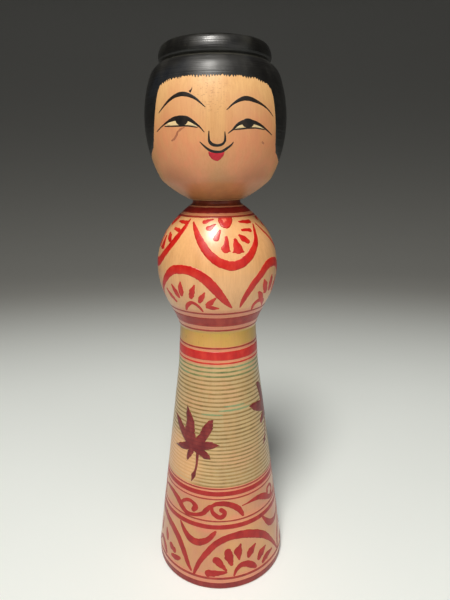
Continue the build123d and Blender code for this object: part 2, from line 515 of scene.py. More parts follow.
def body_wood():
    """Wood that the inks have tinted: rose at the red bands, ochre at the waist, cream on the skirt."""
    n = Nodes("body_wood")
    z = n.height()
    drift = n.times(n.math("SUBTRACT", n.noise(60, 2), 0.5), 0.0022)
    level = n.times(n.math("ADD", z, drift), 1 / (TINT_TOP * MM))
    tan, rose, ochre = srgb(228, 172, 115), srgb(212, 124, 90), srgb(200, 152, 62)
    cream, base = srgb(186, 160, 110), srgb(196, 130, 92)
    tints = ((0.0, rose), (6.8, rose), (8.5, base), (28.0, base), (30.0, rose), (36.0, rose),
             (37.5, base), (43.5, base), (45.0, rose), (50.5, rose), (52.0, cream), (107.2, cream),
             (108.5, rose), (115.8, rose), (116.6, ochre), (123.2, ochre), (124.6, rose),
             (133.0, rose), (135.0, tan), (172.2, tan), (173.2, rose), (176.0, rose), (178.0, tan))
    colour = n.stops(level, [(mm / TINT_TOP, tint) for mm, tint in tints])

    skirt = n.band(z, (0.050, 0.056), (0.1080, 0.1060))
    upper = n.ramp(z, 0.055, 0.105, soft=False)
    flush = n.ramp(n.noise(38, 2, (1, 1, 1.4)), 0.50, 0.70, 0.0, 0.34)
    colour = n.mix(n.times(flush, skirt), colour, srgb(226, 156, 112))
    cool = n.ramp(n.noise(30, 2, (1.3, 1.3, 1), 0.5), 0.42, 0.66, 0.0, 0.40)
    cooler = n.times(n.times(cool, skirt), n.ramp(upper, 0.2, 1.0, 0.35, 1.0))
    colour = n.mix(cooler, colour, srgb(186, 180, 120))
    halo = n.times(near_line(n, z), skirt)
    bled = n.mix(upper, srgb(178, 138, 86), srgb(146, 130, 78))
    colour = n.mix(n.times(halo, 0.45), colour, bled)

    waist = n.band(z, (0.1164, 0.1168), (0.1234, 0.1230))
    tinge = n.ramp(n.noise(110, 3, (1, 1, 1.6)), 0.42, 0.66, 0.0, 0.42)
    colour = n.mix(n.times(waist, tinge), colour, srgb(184, 160, 48))
    dirt = n.ramp(n.noise(620, 3, (1, 1, 0.7)), 0.64, 0.74, 0.0, 0.5)
    colour = n.mix(n.times(waist, dirt), colour, srgb(140, 96, 36))

    colour = n.mix(n.times(bare_patch(n, 0.85), skirt), colour, BARE_WOOD)
    lowest = n.band(z, (0.0070, 0.0085), (0.0455, 0.0440))
    aged = n.ramp(n.noise(75, 3, (1, 1, 1.3)), 0.40, 0.62, 0.0, 0.55)
    colour = n.mix(n.times(lowest, aged), colour, srgb(200, 150, 84))
    colour, streaks = wood_grain(n, colour)
    wear = n.times(n.ramp(z, 0.0026, 0.0), n.ramp(n.noise(420, 4), 0.42, 0.6))
    colour = n.mix(n.times(wear, 0.5), colour, srgb(120, 84, 56))
    return wood_finish(n, colour, streaks)


CHEEKS = ((-34, 196.5), (37, 196.0))
EYELIDS = ((-27, 212.5), (27, 211.5))
# where painted shade darkens the jaw on each side: angle and height
JAW_SHADE = ((-43, 184.5), (41, 185.0))


def head_wood():
    """Bare wood with painted shade, darker under the chin and on the jaw, and blush on the cheeks and
    eyelids.
    """
    n = Nodes("head_wood")
    z = n.height()
    # painted shade: the wood's colour darkens from the forehead down to the chin
    colour = n.stops(n.ramp(z, 0.178, 0.228, soft=False), [
        (0.0, srgb(136, 88, 54)), (0.16, srgb(172, 118, 76)), (0.30, srgb(204, 148, 96)),
        (0.5, srgb(218, 162, 105)), (0.7, srgb(218, 168, 111)), (1.0, srgb(222, 175, 118))])
    colour, streaks = wood_grain(n, colour, 1.1)
    dots = n.times(n.ramp(n.noise(1500, 1, (0.8, 1, 1.5), 0.3), 0.60, 0.70),
                   n.ramp(n.distance(place(HEAD, -4, 218)), 0.010, 0.003))
    colour = n.mix(n.times(dots, 0.5), colour, srgb(168, 116, 70))
    shift = n.ramp(n.noise(150, 3, (1, 1, 0.5)), 0.3, 0.7, -0.0022, 0.0022)
    side = n.add("ShaderNodeSeparateXYZ")
    n.link(n.coords, side.inputs["Vector"])
    beside = n.math("ABSOLUTE", side.outputs["X"])
    nose = n.times(n.ramp(beside, 0.0043, 0.0028), n.ramp(z, 0.200, 0.204))
    mottle = n.ramp(n.noise(420, 3, (1, 1, 0.5)), 0.35, 0.68, 0.72, 1.12)
    blush = n.times(n.math("SUBTRACT", 1.0, n.times(nose, 0.9)), mottle)
    for angle, mm in CHEEKS:
        away = n.math("ADD", n.distance(place(HEAD, angle, mm)), shift)
        here = n.times(n.ramp(away, 0.0205, 0.0080, 0.0, 0.56), blush)
        colour = n.mix(here, colour, srgb(228, 136, 96))
    for angle, mm in EYELIDS:
        away = n.math("ADD", n.distance(place(HEAD, angle, mm)), shift)
        here = n.times(n.ramp(away, 0.0125, 0.0045, 0.0, 0.48), blush)
        colour = n.mix(here, colour, srgb(206, 138, 98))
    # painted shade: the jaw is laid darker brown on each side
    for angle, mm in JAW_SHADE:
        near = n.ramp(n.distance(place(HEAD, angle, mm)), 0.0135, 0.0040, 0.0, 0.55)
        colour = n.mix(near, colour, srgb(152, 90, 48))
    return wood_finish(n, colour, streaks, roughness=(0.40, 0.56), coat=0.22)


def peg_wood():
    """The hidden dowel's plain wood, rubbed darker where it turns."""
    n = Nodes("peg_wood")
    shade = n.noise(240, 3, GRAIN)
    colour = n.mix(shade, srgb(206, 160, 106), srgb(226, 184, 130))
    colour, streaks = wood_grain(n, colour)
    rub = n.noise(900, 3, TURNED)
    colour = n.mix(n.ramp(rub, 0.5, 0.7, 0.0, 0.4), colour, srgb(120, 70, 44))
    return wood_finish(n, colour, streaks, roughness=(0.45, 0.65), coat=0.05)


def ink(name, thin, full, dark, load=0.75, roughness=(0.34, 0.50), coat=0.22, stripes=None, worn=0.0):
    """Dye brushed on wood: the fibres show through, and it gathers where the brush slowed.

    thin, full and dark are 0-255 screen colours. With stripes (first height, pitch), turned lines
    show through. worn is how much of the ink the bare patch has lost.
    """
    n = Nodes(name)
    thin, full, dark = srgb(*thin), srgb(*full), srgb(*dark)
    pool = n.noise(330, 3, (1, 1, 0.6), 0.5)
    hair = n.noise(2300, 3, (1, 1, 0.12), 0.6)
    fibre = n.noise(1500, 4, GRAIN, 0.65)
    colour = n.mix(n.ramp(pool, 0.25, 0.62, 1.0 - load, 1.0), thin, full)
    colour = n.mix(n.ramp(pool, 0.56, 0.76, 0.0, 0.55), colour, dark)
    colour = n.mix(n.ramp(hair, 0.40, 0.74, 0.0, 0.30), colour, thin)
    colour = n.mix(n.ramp(fibre, 0.55, 0.75, 0.0, 0.22), colour, dark)
    if stripes:
        start, pitch = stripes
        wave = n.math("FRACT", n.times(n.math("SUBTRACT", n.height(), start), 1 / pitch))
        line = n.ramp(n.math("ABSOLUTE", n.math("SUBTRACT", wave, 0.5)), 0.28, 0.44)
        colour = n.mix(n.times(line, 0.35), colour, dark)
    if worn:
        colour = n.mix(bare_patch(n, worn), colour, BARE_WOOD)
    normal = n.bump(fibre, 0.12, 0.0001)
    normal = n.bump(pool, 0.10, 0.0002, normal)
    rough = n.ramp(hair, 0.3, 0.7, *roughness)
    n.shader.inputs["Specular IOR Level"].default_value = 0.35
    return n.finish(colour, rough, normal, coat=coat, coat_roughness=0.17)


def lacquer():
    """Black hair, waxed: rings from the lathe, a painted highlight of lighter grey on top, a painted light
    line in the groove.
    """
    n = Nodes("black_lacquer")
    z = n.height()
    cloud = n.noise(120, 4, (1, 1, 0.8))
    rings = n.noise(1300, 3, TURNED, 0.5)
    colour = n.mix(n.ramp(cloud, 0.35, 0.7), srgb(15, 14, 13), srgb(27, 26, 23))
    # painted highlight: the top is laid lighter grey, as the sheen of the light from above
    lit_top = n.times(n.ramp(z, 0.226, 0.240), n.ramp(cloud, 0.42, 0.72, 0.2, 1.0))
    colour = n.mix(n.times(lit_top, 0.25), colour, srgb(58, 58, 52))
    # painted highlight: a light grey line laid in the groove under the crown
    groove_highlight = n.band(z, (0.23262, 0.23285), (0.23345, 0.23315))
    colour = n.mix(n.times(groove_highlight, 0.5), colour, srgb(150, 146, 130))
    specks = n.noise(1700, 3, (1, 1, 1), 0.6)
    colour = n.mix(n.ramp(specks, 0.70, 0.76, 0.0, 0.6), colour, srgb(110, 100, 86))
    tint = n.noise(60, 2)
    colour = n.mix(n.ramp(tint, 0.5, 0.75, 0.0, 0.35), colour, srgb(28, 34, 44))
    normal = n.bump(rings, 0.60, 0.0004)
    normal = n.bump(n.noise(900, 3, (1, 1, 0.1)), 0.10, 0.00015, normal)
    rough = n.math("ADD", n.ramp(cloud, 0.3, 0.7, 0.29, 0.42), n.ramp(z, 0.2345, 0.2325, 0.0, 0.10))
    return n.finish(colour, rough, normal, coat=0.12, coat_roughness=0.24)


for node, wood in (("body", body_wood), ("head", head_wood), ("neck_peg", peg_wood)):
    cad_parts[node].data.materials.clear()
    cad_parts[node].data.materials.append(wood())

RED = ink("red_ink", (204, 50, 34), (188, 18, 15), (156, 12, 14), load=0.94)
DEEP_RED = ink("deep_red_ink", (176, 36, 28), (156, 10, 10), (118, 8, 10), load=0.86)
FOOT_RED = ink("foot_red_ink", (150, 36, 30), (128, 16, 15), (94, 10, 12), load=0.84)
DUSKY = ink("dusky_ink", (172, 60, 44), (148, 34, 26), (114, 22, 20), load=0.78)
NECK_RED = ink("neck_ink", (156, 38, 30), (132, 20, 20), (92, 12, 14), load=0.85, coat=0.1)
# painted shade: a dark brown ink for the top of the neck, where the head shades it
NECK_SHADE = ink("neck_painted_shade_ink", (142, 62, 36), (110, 42, 24), (76, 24, 14), load=0.8, coat=0.05)
CRIMSON = ink("crimson_ink", (140, 52, 46), (108, 20, 26), (76, 10, 20), load=0.82, coat=0.1,
              stripes=(0.0515, 0.00184))
GREEN = ink("green_ink", (150, 148, 96), (110, 116, 68), (82, 92, 54), load=0.7)
OLIVE = ink("olive_ink", (164, 136, 84), (136, 110, 62), (106, 84, 46), load=0.7, worn=0.8)
FAINT = ink("faint_ink", (178, 148, 92), (152, 122, 72), (124, 98, 56), load=0.6, worn=0.8)
TEAL = ink("teal_ink", (152, 154, 106), (120, 142, 100), (94, 126, 92), load=0.5)
BLACK = ink("black_ink", (44, 32, 24), (16, 12, 10), (8, 7, 7), load=0.92,
            roughness=(0.45, 0.6), coat=0.08)
LIP_RED = ink("lip_ink", (206, 40, 56), (184, 8, 34), (136, 4, 24), load=0.9, coat=0.15)
ROSE = ink("rose_ink", (236, 128, 96), (222, 92, 72), (202, 60, 50), load=0.6)
PALE = ink("eye_pale", (230, 196, 140), (226, 200, 152), (208, 170, 114), load=0.6)
STAIN = ink("stain_ink", (206, 140, 100), (168, 102, 72), (136, 78, 54), load=0.55)

# ------------------------------------------------------------------ rings on the body


def rings(name, material, bands, waver=0.05):
    """One piece of turned bands, each given by the heights of its edges."""
    film = Film(name, BODY, "body", "red_ink", material)
    for low, high in bands:
        film.ring(low, high, waver)
    film.make()


rings("paint_neck", NECK_RED, [(174.0, 176.2)], waver=0.06)
# painted shade: a dark brown ring where the head shades the top of the neck
rings("painted_shade_neck_top", NECK_SHADE, [(176.7, NECK_TOP - 0.15)], waver=0.03)
rings("paint_bands", RED, [(110.2, 114.1), (108.35, 109.0)])
rings("paint_dusky_bands", DUSKY, [
    (172.3, 173.0), (132.2, 133.0), (126.1, 130.5), (123.6, 124.4), (115.3, 116.0), (49.8, 50.4),
    (44.9, 45.5), (34.1, 34.8), (5.3, 6.5)])
rings("paint_lower_bands", DEEP_RED, [(46.7, 48.9), (30.5, 32.7)])
rings("paint_foot_band", FOOT_RED, [(0.35, 3.45)])

green_lines = Film("paint_green_lines", BODY, "body", "green_ink", GREEN, lift=0.012)
olive_lines = Film("paint_olive_lines", BODY, "body", "green_ink", OLIVE, lift=0.012)
faint_lines = Film("paint_faint_lines", BODY, "body", "green_ink", FAINT, lift=0.012)
FIRST_OLIVE, FIRST_THIN, FIRST_FAINT = 3, 6, 25
for k in range(LINES):
    film = green_lines if k < FIRST_OLIVE else (olive_lines if k < FIRST_FAINT else faint_lines)
    half = random.uniform(0.34, 0.44) if k < FIRST_THIN else random.uniform(0.30, 0.42)
    film.ring(line_height(k) - half, line_height(k) + half, 0.07)
green_lines.make()
olive_lines.make()
faint_lines.make()

# where a brush of teal ran along a line: the line's number, and the angles it starts and ends at
TOUCHES = ((9, 6, 34), (10, 0, 42), (11, -22, 4), (0, 22, 60), (1, 28, 58), (2, -62, -44))
teal = Film("paint_teal", BODY, "body", "green_ink", TEAL, lift=0.03)
for turn in (0, 118, 236):
    for k, start, end in TOUCHES:
        z = line_height(k)
        touch = [(start, z, 0.4), (start + 6, z, 0.75), (end - 6, z, 0.85), (end, z, 0.4)]
        teal.stroke(touch, turn=turn, rough=0.1)
teal.make()

# ------------------------------------------------------------------ the chest

UPPER_ARC = [
    (-31.5, 170.6, 0.7), (-24.5, 167.7, 2), (-18.5, 164.6, 2.8), (-12.5, 161.3, 3.3),
    (-6, 158.1, 3.5), (2, 155.5, 3.7), (12, 154, 3.8), (21.5, 154.8, 3.7), (30, 157.1, 3.5),
    (37.5, 160.2, 3), (43, 163.3, 2.2), (46.5, 166.5, 1.6), (51, 169.2, 0.7)]
LEFT_ARC = [
    (-39, 171.6, 0.7), (-41.5, 168.3, 2.2), (-47, 164, 3.1), (-55.5, 159.2, 3.4), (-68, 154, 3.9),
    (-78, 152.6, 4.2), (-89, 152.8, 4.3), (-99, 155, 4.1), (-107, 158.8, 3.4), (-113, 163, 2.6),
    (-117, 167, 1.8), (-120, 170, 0.7)]
RIGHT_ARC = [
    (57.5, 169.3, 0.8), (62.5, 166.5, 1.2), (70, 163.5, 1.5), (80, 159.4, 1.9), (90, 156, 2.4),
    (100, 154.4, 3.1), (110, 154.8, 3.2), (119, 157.2, 3), (126, 160.4, 2.5), (132, 164.4, 1.8),
    (136, 168.4, 1.1), (138, 170.6, 0.5)]
UPPER_RAYS = [
    [(-5.5, 171.8, 0.8), (-15.5, 170.8, 2.2)],
    [(-2, 169.9, 0.8), (-9.5, 168.4, 2.3)],
    [(3.5, 167.6, 0.9), (-1, 164.6, 2.3)],
    [(9.5, 165.1, 1.2), (9, 162.4, 2.4), (8, 160.7, 3.6)],
    [(18.5, 163.9, 1.6), (19, 162, 3), (20, 160.3, 3.9)],
    [(24.5, 165.5, 1.4), (28, 164.3, 3), (32, 163.1, 2)],
    [(29.5, 167.5, 1.1), (40, 167.2, 1.9)],
    [(30.5, 170.6, 1.1), (46.5, 170.4, 2.3)]]
UPPER_FORKS = [
    [(8.5, 161.8, 1.6), (5.5, 160.9, 1.3), (4, 160.5, 0.5)],
    [(8.5, 161.6, 1.7), (10, 160.3, 1.5), (12, 159.8, 0.5)],
    [(19, 161.4, 1.8), (16.5, 159.9, 1.5), (14.5, 159.3, 0.5)],
    [(20, 161.2, 2), (23, 159.8, 1.8), (25, 159.2, 0.6)]]
LOWER_ARC = [
    (-74.5, 136.6, 0.7), (-71, 139.4, 1.5), (-66, 142.2, 2.1), (-61, 144.6, 2.4), (-54, 147.7, 3.1),
    (-45, 151, 3.6), (-35.5, 152, 3.7), (-26.5, 152, 3.8), (-17, 150.5, 4.1), (-8.5, 147.6, 4.2),
    (-1.5, 144, 3.9), (4.5, 140.4, 3.3), (9.5, 137.7, 2.2), (14, 135.7, 0.7)]
STEEP_ARC = [
    (23.5, 135.6, 0.8), (25, 138.2, 2.1), (28.5, 141.6, 2.9), (34, 145.3, 3.3), (41.5, 148.7, 3.5),
    (51, 152.2, 3.7), (62, 153.1, 4.1), (73, 151.8, 4), (82, 148.4, 3.8), (90, 144.2, 3.1),
    (96, 139.8, 2.1), (100, 136, 0.8)]
LOWER_RAYS = [
    [(-57, 142, 1.2), (-52.5, 139.6, 2.2), (-47.5, 137.4, 1.8)],
    [(-47, 144.7, 1), (-44, 142.4, 2.4), (-41, 140, 2)],
    [(-35.5, 146.6, 0.8), (-36, 143.5, 2.8), (-36.5, 141.1, 2)],
    [(-21, 145.8, 0.8), (-24, 142.7, 2.7), (-26, 140.5, 2)],
    [(-12, 142.8, 0.8), (-15.5, 140.2, 2.5), (-17.5, 138.6, 1.7)],
    [(-2, 140.4, 0.8), (-7, 138.4, 2.5), (-10, 137.3, 2)],
    [(0.5, 135.6, 0.8), (-5.5, 135.7, 2.2), (-10, 136.2, 2)]]
STEEP_RAYS = [
    [(42.5, 141.2, 1.1), (46.5, 139.4, 3), (50.5, 137.4, 2.2)],
    [(48, 146.2, 1.1), (50, 144.2, 3.1), (53.5, 141.2, 3)],
    [(61.5, 147.2, 1.1), (61, 144.6, 3.5), (61, 141.6, 2.8)],
    [(75, 146, 1.1), (72.5, 143, 3.4), (70.5, 140.6, 2.6)],
    [(84, 142.6, 1.1), (80, 140.2, 3.1), (77, 138.8, 2.5)],
    [(90, 137.4, 1.1), (84, 137, 2.8), (80, 136.8, 2.2)]]
LOWER_EYE = [
    (-36.5, 133.9, 1.1), (-32.5, 136.3, 1.8), (-27, 137.8, 1.8), (-22.5, 137.3, 1.6),
    (-19, 135.8, 1.5), (-16.5, 134, 0.9)]
STEEP_EYE = [
    (40.5, 133.6, 1.2), (41, 135.6, 2.1), (45.5, 137, 2.2), (51.5, 136.9, 2.2), (56.5, 135.4, 2.1),
    (58.5, 133.9, 1.1)]
BUD = [
    (2, 172.5), (1.5, 171.2), (3, 170.1), (5, 169.1), (8.5, 168.5), (11.5, 168.3), (15, 168.7),
    (17.5, 169.5), (20, 170.6), (21.5, 171.6), (22, 172.5)]
BUD_HEART = [(5.5, 172.3), (6, 171.2), (8, 170.4), (11, 170.4), (13.5, 171.2), (14, 172.3)]

QUARTERS = (0, 88, 180, 272)       # where the upper motifs stand, roughly a quarter turn apart
chest = Film("paint_chest", BODY, "body", "red_ink", RED)
for arc, turn in ((UPPER_ARC, 0), (LEFT_ARC, 0), (RIGHT_ARC, 0), (UPPER_ARC, 180)):
    chest.stroke(turned(arc, turn))
for turn in QUARTERS:
    for ray in UPPER_RAYS:
        chest.stroke(turned(ray, turn), rough=0.10)
    for fork in UPPER_FORKS:
        chest.stroke(turned(fork, turn), rough=0.12, spacing=0.3)
LOWER_MOTIF, STEEP_MOTIF = (LOWER_ARC, LOWER_RAYS, LOWER_EYE), (STEEP_ARC, STEEP_RAYS, STEEP_EYE)
for (arc, rays, eye), turn in ((LOWER_MOTIF, 0), (STEEP_MOTIF, 0), (STEEP_MOTIF, 86), (LOWER_MOTIF, 267)):
    chest.stroke(turned(arc, turn))
    for ray in rays:
        chest.stroke(turned(ray, turn), rough=0.10)
    chest.stroke(turned(eye, turn))
chest.make()

buds = Film("paint_buds", BODY, "body", "red_ink", RED)
hearts = Film("paint_bud_hearts", BODY, "body", "red_ink", ROSE, lift=0.05)
for turn in QUARTERS:
    buds.patch(turned(BUD, turn))
    hearts.patch(turned(BUD_HEART, turn), grid=0.6)
buds.make()
hearts.make()

# ------------------------------------------------------------------ the skirt

LEAF = [
    (-44.5, 87.8), (-37.5, 84.5), (-31.5, 80.9), (-30, 76.5), (-28.5, 73.4), (-24.5, 75.3),
    (-20, 79.4), (-13, 82.5), (-7, 83.2), (-7.5, 78.9), (-12, 75.4), (-16.5, 72.6), (-8.5, 72.7),
    (0.5, 70.9), (-6.5, 69.6), (-17, 68.3), (-11.5, 66.7), (-10, 64.3), (-17.5, 64.2), (-24.5, 66),
    (-30, 66.5), (-33.5, 63.9), (-39.5, 60.7), (-40, 63.5), (-38.5, 66.5), (-48, 65.6), (-61, 65.8),
    (-51.5, 68.3), (-43, 69.8), (-50.5, 72.4), (-60.5, 76.2), (-69.5, 80.6), (-56, 79.6),
    (-45.5, 76.2), (-43.5, 80), (-45, 83.6)]
STEM = [
    (-25.5, 66.2, 1.6), (-26, 61.1, 1.2), (-27.5, 57.6, 1.2), (-29.5, 55.2, 2.4), (-30.5, 53.6, 1.2),
    (-31.5, 52.2, 0.4)]
SIDE_LEAF = [
    (59.5, 95.4), (66, 95.6), (73, 94.2), (79, 91.6), (82.5, 88), (84.5, 85.4), (90, 87.6), (98, 90),
    (108, 90.8), (103, 87.2), (96, 84), (91, 81.8), (100, 81), (111, 79.4), (102, 77.2), (93, 76.2),
    (98, 74), (101, 71.6), (93, 72.4), (86, 74.4), (81, 76.2), (76.5, 76.4), (70, 75.6), (64.5, 74.9),
    (59, 75.6), (62, 77.6), (67, 79), (71.5, 79.9), (63, 80.9), (55, 82.4), (48, 83.9), (41, 86.7),
    (47, 87.5), (53, 87.4), (60, 86.7), (67.5, 85.9), (67, 88), (65, 90.6), (62.5, 93.2)]
SIDE_STEM = [(79, 77, 1.5), (75, 72.4, 1.2), (71, 67.9, 1.2), (67, 66.2, 2.3), (63, 64.6, 0.6)]
LEAVES = ((LEAF, STEM, 0, 0), (SIDE_LEAF, SIDE_STEM, 0, 0), (LEAF, STEM, 228, 2.0))
for number, (shape, stem, turn, rise) in enumerate(LEAVES, 1):
    leaf = Film(f"paint_leaf_{number}", BODY, "body", "crimson_ink", CRIMSON, lift=0.06)
    leaf.patch(turned(shape, turn, rise), grid=0.8)
    leaf.stroke(turned(stem, turn, rise))
    leaf.make()

# ------------------------------------------------------------------ the scroll and the foot

SCROLL = [
    [(-77, 41, 0.6), (-68.5, 41.9, 1.7), (-58, 41.7, 2.5), (-48.5, 40.2, 3.2), (-41.5, 37.6, 3),
     (-35.5, 35.9, 2.2), (-30, 35.9, 1.8), (-23.5, 36.6, 1.8), (-17.5, 37.8, 2.2), (-14, 39.7, 2.4),
     (-10.5, 41.3, 2.1), (-8, 41.9, 1.7), (-3.5, 43, 2.2), (4.5, 43.1, 2.5), (12, 41.8, 2.8),
     (17.5, 40, 2.8), (21, 37.7, 2.2), (22.5, 36.1, 1.3)],
    [(-44, 38.4, 1.7), (-41.5, 40.2, 1.6), (-38, 41.7, 1.7), (-32.5, 42.5, 1.8), (-28, 41.7, 2.2),
     (-25.5, 40.2, 2.8), (-27.5, 38.6, 2.4)],
    [(-8.5, 41.2, 1.4), (-8, 39.3, 1.8), (-5, 37.5, 2.2), (-0.5, 36.5, 2.2), (3, 37.2, 2.1),
     (4, 38.9, 2.1), (1, 40, 2.3)]]
RIGHT_SCROLL = [
    [(22.5, 40.7, 0.5), (28.5, 41.1, 0.8), (35.5, 41.5, 1.7), (43.5, 41.2, 2.6), (51, 39.9, 3.2),
     (59, 37.4, 2.5), (66, 36.2, 2), (73, 36.2, 1.7), (80, 37.6, 2), (86, 39.8, 2.2), (93, 42, 2.2),
     (101, 43, 2.4), (110, 42, 2.5), (117, 39.6, 2.2), (121, 36.6, 1.2)],
    [(58, 40.2, 1.7), (59, 42, 1.4), (64, 42.4, 1.4), (68, 41, 1.5), (68.5, 39, 1.5),
     (65.5, 37.8, 1.7)],
    [(90, 41.2, 1.3), (91.5, 38.8, 1.8), (95.5, 37, 2), (100, 37.2, 2), (101.5, 39, 1.8),
     (99, 40.2, 2)]]
scroll = Film("paint_scroll", BODY, "body", "red_ink", DEEP_RED)
for line in RIGHT_SCROLL:
    scroll.stroke(line)
for turn, stretch in ((0, 1.0), (184.6, 0.8), (265.6, 0.8)):
    for line in SCROLL:
        scroll.stroke(turned(line, turn, stretch=stretch))
scroll.make()

FOOT_ARC = [
    (-24.5, 6.2, 1.1), (-22.5, 9.6, 2), (-18.5, 14.2, 2.4), (-12, 19.1, 2.8), (-4.5, 23.3, 3.1),
    (4.5, 25.9, 3.3), (14.5, 26.8, 3.6), (25, 26.2, 4), (37, 23.8, 4), (46.5, 20.4, 3.3),
    (54.5, 15.6, 2.3), (60.5, 11, 1.7), (64.5, 7, 0.9)]
FOOT_RAYS = [
    [(4.5, 9, 1.1), (-3.5, 8.7, 2.8), (-11, 8.3, 3.7)],
    [(4.5, 10, 1), (0, 12.8, 2.8), (-4, 15.2, 3.7)],
    [(9.5, 12.8, 1.7), (7.5, 16.4, 4.1), (6.5, 19.2, 3.3)],
    [(18.5, 21.8, 1), (16, 18.5, 3.9), (16.5, 14.6, 1)],
    [(33.5, 19.3, 1), (28.5, 16.7, 3.8), (26, 14.7, 2)],
    [(45.5, 15, 1), (39.5, 13, 3.8), (36.5, 11, 2)],
    [(54.5, 10.3, 1), (45.5, 9.5, 3.3), (41, 8, 1.7)]]
FOOT_EYE = [
    (11.5, 7.1, 1), (13.5, 9.5, 1.8), (18, 11.4, 2.5), (23.5, 11.2, 3.1), (29, 9.4, 3.1),
    (32, 7.9, 1.9)]
SWAG = [
    (-42, 29.9, 1), (-38.5, 27.5, 2.3), (-34, 25.1, 3), (-28.5, 23.3, 3.6), (-21.5, 23, 3.5),
    (-15, 24.2, 3), (-10.5, 25.9, 2.6), (-7, 28, 2.2), (-5, 29.3, 1.2)]
SIDE_SWAG = [
    (44.5, 31.3, 0.7), (49.5, 27.9, 2.1), (56, 24.3, 3.2), (65, 22.8, 2.6), (72.5, 23.4, 2.2),
    (79, 25.6, 1.8), (84, 28.4, 1.2), (86, 29.6, 0.8)]
LEFT_FOOT_ARC = [
    (-113.5, 7, 1.2), (-111, 12.6, 2.2), (-106, 18.6, 3.1), (-98.5, 23.2, 3.8), (-90, 26.2, 4.2),
    (-80, 27.2, 4.1), (-69, 26.7, 3.7), (-61.5, 25.6, 3.7), (-53, 24.2, 3.8), (-44.5, 21.5, 3.7),
    (-38.5, 17.7, 3.3), (-34, 13.8, 2.8), (-30.5, 10.1, 2.2), (-27.5, 7.9, 1.2)]
LEFT_FOOT_RAYS = [
    [(-64, 19.4, 1.2), (-62, 17.2, 3), (-60.5, 15, 2)],
    [(-53.5, 13.8, 3), (-48.5, 12.8, 3.2)],
    [(-50.5, 9.4, 1.8), (-45, 9.9, 3), (-40.5, 10.9, 1.6)],
    [(-76, 21.4, 0.7), (-76.5, 18, 2.2), (-77, 15, 1.8)],
    [(-92, 20.6, 0.7), (-90, 17, 2.4), (-88.5, 14.4, 1.6)],
    [(-102.5, 14.4, 0.7), (-98, 12.4, 2.4), (-94.5, 11, 1.6)]]
foot = Film("paint_foot", BODY, "body", "red_ink", DEEP_RED)
foot.stroke(LEFT_FOOT_ARC)
foot.stroke(SIDE_SWAG)
for ray in LEFT_FOOT_RAYS:
    foot.stroke(ray, rough=0.08)
foot.stroke(turned(FOOT_EYE, 268))
for turn in (0, 90, 181):
    foot.stroke(turned(FOOT_ARC, turn))
    for ray in FOOT_RAYS:
        foot.stroke(turned(ray, turn), rough=0.08)
    foot.stroke(turned(FOOT_EYE, turn))
for turn in (0, 179, 263):
    foot.stroke(turned(SWAG, turn))
foot.make()

# ------------------------------------------------------------------ the face

BROWS = [
    [(-46.6, 212.6, 0.35), (-40.9, 214.8, 0.75), (-35.0, 216.9, 1.15), (-29.3, 218.1, 1.5),
     (-24.1, 218.4, 1.7), (-19.1, 217.8, 1.4), (-13.8, 216.4, 0.9), (-7.3, 213.6, 0.3)],
    [(8.0, 212.6, 0.3), (12.8, 214.7, 0.75), (17.8, 216.1, 1.3), (22.7, 216.7, 1.7),
     (28.2, 216.3, 1.5), (34.8, 215.2, 0.95), (41.1, 213.7, 0.6), (48.0, 211.2, 0.3)]]
UPPER_LIDS = [
    [(-50.5, 206.0, 0.3), (-42.1, 208.05, 0.6), (-37.2, 209.1, 1.0), (-32.9, 209.75, 1.5),
     (-28.9, 210.05, 1.75), (-25.1, 210.05, 1.85), (-21.5, 209.85, 1.75), (-18.1, 209.15, 1.4),
     (-14.8, 208.0, 1.0), (-11.6, 206.8, 0.6), (-8.5, 205.0, 0.3)],
    [(9.1, 204.5, 0.3), (12.4, 205.75, 0.65), (15.7, 207.4, 1.1), (19.0, 208.25, 1.5),
     (22.5, 208.65, 1.7), (26.2, 208.65, 1.7), (30.8, 208.25, 1.4), (35.9, 207.4, 0.95),
     (41.8, 205.95, 0.6), (47.7, 204.4, 0.3)]]
LOWER_LIDS = [
    [(-40.8, 207.5, 0.35), (-33.5, 207.4, 0.55), (-26.2, 207.35, 0.6), (-20.0, 207.2, 0.55),
     (-13.3, 206.6, 0.35)],
    [(12.1, 205.7, 0.35), (17.8, 206.0, 0.55), (24.2, 206.35, 0.6), (31.1, 206.5, 0.5),
     (38.9, 206.1, 0.35)]]
NOSE = [
    (-4.9, 205.2, 0.4), (-5.1, 202.4, 0.8), (-4.3, 201.3, 1.15), (-2.2, 200.5, 1.2),
    (1.2, 200.2, 1.0), (4.6, 200.6, 0.95), (6.4, 201.5, 0.9), (6.9, 202.5, 0.8), (6.6, 204.9, 0.4)]
MOUTH = [
    (-11.9, 201.5, 0.35), (-9.0, 200.1, 0.7), (-5.7, 198.8, 0.9), (-2.3, 198.1, 1.0),
    (1.2, 197.9, 1.05), (4.6, 198.1, 1.0), (8.1, 199.1, 0.9), (11.4, 200.3, 0.7), (13.1, 201.3, 0.35)]
face = Film("face_ink", HEAD, "head", "black_ink", BLACK)
for line in BROWS + UPPER_LIDS + LOWER_LIDS + [NOSE, MOUTH]:
    face.stroke(line, rough=0.025, spacing=0.35)
IRISES = ((-25.2, 209.15, 2.65, 1.85), (24.0, 208.05, 2.6, 1.75))      # angle, height, half sizes
for angle, mm, wide, tall in IRISES:
    per_degree = math.radians(1) * radius(HEAD, mm)
    face.patch([(angle + wide / per_degree * math.cos(t), mm + tall * math.sin(t))
                for t in np.linspace(0, 2 * math.pi, 20, endpoint=False)], grid=0.5, rough=0.03)
face.make()

